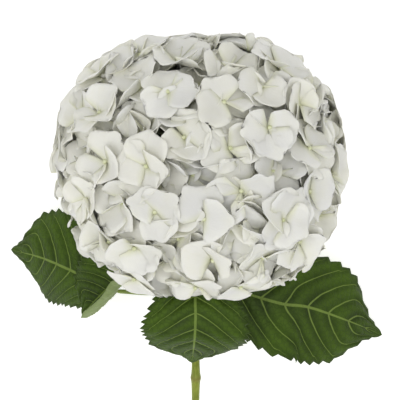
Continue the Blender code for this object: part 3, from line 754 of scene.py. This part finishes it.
def smooth_path(points, count):
    """Points evenly placed along a smooth curve through the given ones."""
    ends = [2 * points[0] - points[1], *points, 2 * points[-1] - points[-2]]
    fine = []
    for i in range(1, len(ends) - 2):
        p0, p1, p2, p3 = ends[i - 1 : i + 3]
        for step in range(CURVE_STEPS):
            t = step / CURVE_STEPS
            pull = (p2 - p0) * t + (2 * p0 - 5 * p1 + 4 * p2 - p3) * t**2
            fine.append(0.5 * (2 * p1 + pull + (3 * p1 - p0 - 3 * p2 + p3) * t**3))
    fine.append(points[-1])
    lengths = [0.0]
    for a, b in zip(fine, fine[1:]):
        lengths.append(lengths[-1] + (b - a).length)
    found, k = [], 0
    for i in range(count):
        wanted = lengths[-1] * i / (count - 1)
        while k < len(fine) - 2 and lengths[k + 1] < wanted:
            k += 1
        part = (wanted - lengths[k]) / (lengths[k + 1] - lengths[k])
        found.append(fine[k].lerp(fine[k + 1], min(part, 1.0)))
    return found


def blade_half_width(s):
    """Half width at s, from 0 at the base to 1 at the tip, as a share of the widest."""
    swell = max(4 * s * (1 - s), 0.0) ** 0.75
    draw_in = min(max((s - 0.72) / 0.22, 0), 1)
    return swell * (1 - 0.62 * draw_in * draw_in * (3 - 2 * draw_in))


def blade_section(share, width, fold, curl):
    """Where a point at share of the half width lies across the midrib: how far out, and how far up."""
    if abs(curl) < 0.01:
        return width * share * math.cos(fold), width * share * math.sin(fold)
    turned = fold + curl * share
    out = width * (math.sin(turned) - math.sin(fold)) / curl
    rise = width * (math.cos(fold) - math.cos(turned)) / curl
    return out, rise


class Leaf:
    """A leaf's driving dimensions, in millimetres from the head's centre and degrees. The midrib, petiole,
    width and folds are the CAD's. The teeth are finer here and the tip slenderer."""

    def __init__(self, name, petiole, midrib, half_width, facing, left, right):
        self.name = name
        self.petiole = [Vector(p) * MM for p in petiole]
        self.path = smooth_path([Vector(p) * MM for p in midrib], MIDRIB_POINTS)
        self.half_width = half_width * MM
        self.facing = Vector(facing).normalized()
        self.left, self.right = left, right
        self.phase = rng.uniform(0, math.tau)

    def frame(self, i):
        """The midrib's direction at point i, the leaf's right, and its upper side."""
        path = self.path
        along = (path[min(i + 1, len(path) - 1)] - path[max(i - 1, 0)]).normalized()
        right = along.cross(self.facing).normalized()
        return along, right, right.cross(along)

    def tooth(self, s):
        """How far the toothed margin stands out at s: each tooth rises slowly and drops towards the tip."""
        phase = (s * LEAF_TEETH) % 1.0
        level = phase / 0.78 if phase < 0.78 else (1 - phase) / 0.22
        return (level - 0.5) * TOOTH_DEPTH

    def quilting(self, s, share, width):
        """Height of the surface between veins: crests between side veins, a groove along the midrib."""
        start = s - VEIN_SWEEP * abs(share) ** VEIN_CURVE
        from_vein = abs((start * SIDE_VEINS + 0.5) % 1.0 - 0.5)
        crest = 1 - math.exp(-((from_vein / 0.2) ** 2))
        fade = math.sin(math.pi * min(abs(share) * 0.9 + 0.06, 1.0)) ** 0.5
        groove = math.exp(-((abs(share) * width / (2.0 * MM)) ** 2)) * (1 - 0.6 * s)
        broad = min(width / (15 * MM), 1.0)
        small = math.sin(210 * s + 9 * share) * math.sin(23 * share + self.phase) * 0.16
        return QUILT_HEIGHT * broad * fade * (crest + small) - MIDRIB_GROOVE * broad * groove

    def surface(self, s, share):
        """A point on the blade's middle surface at s along it and share across it, from -1 to 1."""
        s = min(max(s, 0.0), 1.0)
        exact = s * (len(self.path) - 1)
        i = min(int(exact), len(self.path) - 2)
        on_path = self.path[i].lerp(self.path[i + 1], exact - i)
        along, right, up = self.frame(i)
        width = max(self.half_width * blade_half_width(s), 1.2 * PETIOLE_RADIUS * (1 - s) + 0.4 * MM)
        teeth = self.tooth(s) * min(width / (10 * MM), 1.0) * abs(share) ** 8
        fold, curl = self.right if share > 0 else self.left
        reach = width + teeth
        out, rise = blade_section(abs(share), reach, math.radians(fold), math.radians(curl))
        sweep = 0.09 * self.half_width * math.sin(math.pi * s) * share * share
        wave = 1.3 * MM * math.sin(17 * s + self.phase + share) * share**4 * min(width / (20 * MM), 1)
        height = self.quilting(s, share, width)
        turned = math.radians(fold + curl * abs(share))
        across = right * math.copysign(math.cos(turned), share) + up * math.sin(turned)
        normal = across.cross(along) * (1 if share > 0 else -1)
        if normal.dot(up) < 0 and abs(turned) < math.pi / 2:
            normal.negate()
        spot = on_path + right * math.copysign(out, share) + up * rise + along * sweep
        return spot + normal.normalized() * (height + wave)


def leaf_shares():
    """Places across the blade, closer together near the midrib."""
    half = LEAF_COLUMNS // 2
    return [math.copysign(abs(k / half) ** 1.15, k) for k in range(-half, half + 1)]


def make_blade(leaf):
    """The blade: a thin closed sheet whose upper side is quilted between its veins."""
    shares = leaf_shares()
    spots = [i / LEAF_ROWS for i in range(LEAF_ROWS + 1)]
    grid = [[leaf.surface(s, share) for share in shares] for s in spots]
    rows, columns = len(spots), len(shares)
    top = []
    for i in range(rows):
        row = []
        for j in range(columns):
            along = grid[min(i + 1, rows - 1)][j] - grid[max(i - 1, 0)][j]
            across = grid[i][min(j + 1, columns - 1)] - grid[i][max(j - 1, 0)]
            row.append((grid[i][j], across.cross(along).normalized()))
        top.append(row)
    points, faces = closed_sheet(rows, columns, top, BLADE_THICKNESS)
    mesh = mesh_from(leaf.name, points, faces)
    count = rows * columns

    def place_of(index):
        row, column = divmod(index % count, columns)
        return shares[column] / 2 + 0.5, spots[row]

    finish_sheet(mesh, place_of)
    upper_normal = top[rows // 2][columns // 2][1]
    first_is_upper = upper_normal.dot(leaf.frame(MIDRIB_POINTS // 2)[2]) > 0
    side = [0.0 if first_is_upper else 1.0] * count + [1.0 if first_is_upper else 0.0] * count
    mesh.attributes.new("underside", "FLOAT", "POINT").data.foreach_set("value", side)
    mesh.materials.append(LEAF)
    return mesh


def add_tube(bm, points, radii, facing, sides=12):
    """A closed round tube through points."""
    rings = []
    for i, (point, radius) in enumerate(zip(points, radii)):
        along = (points[min(i + 1, len(points) - 1)] - points[max(i - 1, 0)]).normalized()
        right = along.cross(facing).normalized()
        up = right.cross(along)
        ring = []
        for k in range(sides):
            angle = math.tau * k / sides
            ring.append(bm.verts.new(point + (right * math.cos(angle) + up * math.sin(angle)) * radius))
        rings.append(ring)
    for lower, upper in zip(rings, rings[1:]):
        for k in range(sides):
            after = (k + 1) % sides
            bm.faces.new((lower[k], lower[after], upper[after], upper[k]))
    bm.faces.new(rings[0][::-1])
    bm.faces.new(rings[-1])


def make_leaf(leaf):
    """A leaf from its blade, petiole and midrib, set into its CAD node's box."""
    blade = make_blade(leaf)
    bm = bmesh.new()
    under = [
        leaf.path[i] - leaf.frame(i)[2] * (MIDRIB_GROOVE + 0.25 * PETIOLE_RADIUS)
        for i in range(0, MIDRIB_END, MIDRIB_STEP)
    ]
    route = smooth_path([*leaf.petiole, under[0]], 22)[:-1]
    thin = [0.62 * PETIOLE_RADIUS * (1 - 0.85 * i / len(under)) for i in range(len(under))]
    radii = [PETIOLE_RADIUS * (1.25 - 0.25 * min(i / 3, 1)) for i in range(len(route))]
    add_tube(bm, route + under, radii + thin, leaf.facing)
    bmesh.ops.recalc_face_normals(bm, faces=bm.faces)
    stalk = bpy.data.meshes.new(leaf.name + "_petiole")
    bm.to_mesh(stalk)
    bm.free()
    smooth(stalk)
    stalk.materials.append(PETIOLE)
    pieces = [new_object(leaf.name + "_blade", blade), new_object(leaf.name + "_stalk", stalk)]
    low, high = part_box(leaf.name)
    points = [v.co for piece in pieces for v in piece.data.vertices]
    for k in range(3):
        middle = (min(p[k] for p in points) + max(p[k] for p in points)) / 2
        shift = Vector([(low[k] + high[k]) / 2 - middle if a == k else 0 for a in range(3)])
        for piece in pieces:
            piece.data.transform(Matrix.Translation(shift))
    for piece in pieces:
        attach(piece, "root")
        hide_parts(leaf.name)


LEAVES = (
    Leaf(
        name="leaf_right",
        petiole=[(0.8, -85.3, -28.6), (2.6, -84.9, -30), (4.5, -84.5, -31)],
        midrib=[
            (10.4, -83.3, -34),
            (33.7, -91.4, -38),
            (63.6, -100.6, -44),
            (86.2, -104.3, -52),
            (119.8, -117, -68),
            (149.1, -130.3, -90),
        ],
        half_width=44,
        facing=(0.1, 0.1, 1),
        left=(-6, -14),
        right=(-4, -16),
    ),
    Leaf(
        name="leaf_left",
        petiole=[(-6.6, -85.3, -28.6), (-9, -85.4, -30), (-30, -92, -38)],
        midrib=[
            (-63.6, -91.2, -44),
            (-84.1, -82.2, -47),
            (-105.9, -72.7, -54),
            (-126.8, -65.6, -68),
            (-153, -60.8, -91),
        ],
        half_width=42,
        facing=(-0.5, 0.1, 0.85),
        left=(-22, -22),
        right=(4, -18),
    ),
    Leaf(
        name="leaf_lower_left",
        petiole=[(-6, -102.8, -31), (-7.6, -103, -30), (-13, -98, -28), (-29, -88, -22)],
        midrib=[
            (-42, -78, -24),
            (-57, -78.5, -27),
            (-67, -85, -31),
            (-79, -96.5, -40),
            (-91, -109, -51),
        ],
        half_width=31,
        facing=(0, 0.1, 1),
        left=(25, 115),
        right=(-6, -10),
    ),
    Leaf(
        name="leaf_front",
        petiole=[(-2.2, -103, -29), (-2.2, -103.6, -27), (-2.2, -92, -20)],
        midrib=[
            (-2.2, -70, -3),
            (-2.2, -81, 6),
            (-2.2, -93, 11.5),
            (-2.0, -106, 13),
            (-2.8, -123, 4),
            (-5.0, -144, -28),
        ],
        half_width=39,
        facing=(0, -0.25, 1),
        left=(2, -14),
        right=(2, -14),
    ),
)


# ---------------------------------------------------------------- stem and rays


def make_stem():
    """The CAD stem made round, with its rings and its cut face marked for the material."""
    bm = bmesh.new()
    bm.from_mesh(NODES["stem"].data)
    bmesh.ops.remove_doubles(bm, verts=bm.verts, dist=0.001 * MM)
    bmesh.ops.join_triangles(
        bm, faces=bm.faces, angle_face_threshold=math.radians(40), angle_shape_threshold=math.radians(80)
    )
    bmesh.ops.dissolve_limit(bm, angle_limit=math.radians(1), verts=bm.verts, edges=bm.edges)
    creases = bm.edges.layers.float.new("crease_edge")
    for edge in bm.edges:
        if len(edge.link_faces) == 2 and edge.calc_face_angle() > math.radians(70):
            edge[creases] = 1.0
    mesh = bpy.data.meshes.new("cane")
    bm.to_mesh(mesh)
    bm.free()
    raw = new_object("cane_raw", mesh)
    rounding = raw.modifiers.new("rounding", "SUBSURF")
    rounding.levels = STEM_ROUNDING
    rounding.render_levels = STEM_ROUNDING
    bpy.context.view_layer.update()
    piece = evaluated_copy(raw, "cane")
    bpy.data.objects.remove(raw)
    smooth(piece.data)
    low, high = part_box("stem")
    axis = (Vector((0, high.y, high.z)) - Vector((0, low.y, low.z))).normalized()
    cut = low.y + CUT_DEPTH
    run = [v.co.y for v in piece.data.vertices]
    faced = [abs(normal.vector.dot(axis)) > 0.9 for normal in piece.data.vertex_normals]
    on_cut = [1.0 if y < cut and end else 0.0 for y, end in zip(run, faced)]
    for name, shares in (("cut_face", on_cut), ("ring", ring_shares(piece.data, axis))):
        piece.data.attributes.new(name, "FLOAT", "POINT").data.foreach_set("value", shares)
    piece.data.materials.clear()
    piece.data.materials.append(CANE)
    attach(piece, "root")
    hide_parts("stem")


def ring_shares(mesh, axis):
    """For each vertex, how strongly it lies on one of the stem's swollen rings."""
    spans = {}
    for vertex in mesh.vertices:
        spans.setdefault(round(vertex.co.dot(axis) / MM), []).append(vertex.co)
    swell = {}
    for key, points in spans.items():
        width = (max(p.x for p in points) - min(p.x for p in points)) / 2
        swell[key] = min(max((width - RING_FROM) / RING_STEP, 0), 1)
    return [swell[round(v.co.dot(axis) / MM)] for v in mesh.vertices]


# ---------------------------------------------------------------- table, light and camera


def area_light(name, place, target, size, watts):
    lamp = bpy.data.lights.new(name, "AREA")
    lamp.shape = "SQUARE"
    lamp.size = size
    lamp.energy = watts
    made = new_object(name, lamp)
    made.location = place
    made.rotation_euler = (target - place).to_track_quat("-Z", "Y").to_euler()


def build_studio(head):
    """A white table, an even white surround, and soft lamps above."""
    bm = bmesh.new()
    bmesh.ops.create_grid(bm, x_segments=1, y_segments=1, size=TABLE_SIZE)
    mesh = bpy.data.meshes.new("table")
    bm.to_mesh(mesh)
    bm.free()
    mesh.materials.append(table_surface())
    table = new_object("table", mesh)
    table.location = (0, 0, cad_box[0][2] - TABLE_DROP)
    world = bpy.data.worlds.new("surround")
    world.use_nodes = True
    background = world.node_tree.nodes["Background"]
    background.inputs["Color"].default_value = (1, 1, 1, 1)
    background.inputs["Strength"].default_value = SURROUND_STRENGTH
    bpy.context.scene.world = world
    area_light("key", head + Vector(KEY_PLACE), head, KEY_SIZE, KEY_WATTS)
    area_light("fill", head + Vector(FILL_PLACE), head, FILL_SIZE, FILL_WATTS)


def place_camera(head):
    """Looks straight down from above a point a little towards the stem from the head."""
    data = bpy.data.cameras.new("camera")
    data.lens = CAMERA_LENS
    camera = new_object("camera", data)
    camera.location = head + Vector((0, -VIEW_BELOW_HEAD, CAMERA_HEIGHT))
    bpy.context.scene.camera = camera


# ---------------------------------------------------------------- the whole scene

lows, highs = zip(*(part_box(name) for name in CLUSTERS))
head_low = Vector([min(p[k] for p in lows) for k in range(3)])
head_high = Vector([max(p[k] for p in highs) for k in range(3)])
head_centre = (head_low + head_high) / 2
head_centre.z = head_low.z + HEAD_RISE

dress_clusters()
for leaf in LEAVES:
    make_leaf(leaf)
make_stem()
for name in RAYS:
    NODES[name].data.materials.clear()
    NODES[name].data.materials.append(STALK)
build_studio(head_centre)
place_camera(head_centre)
bpy.context.scene.view_settings.view_transform = "Standard"
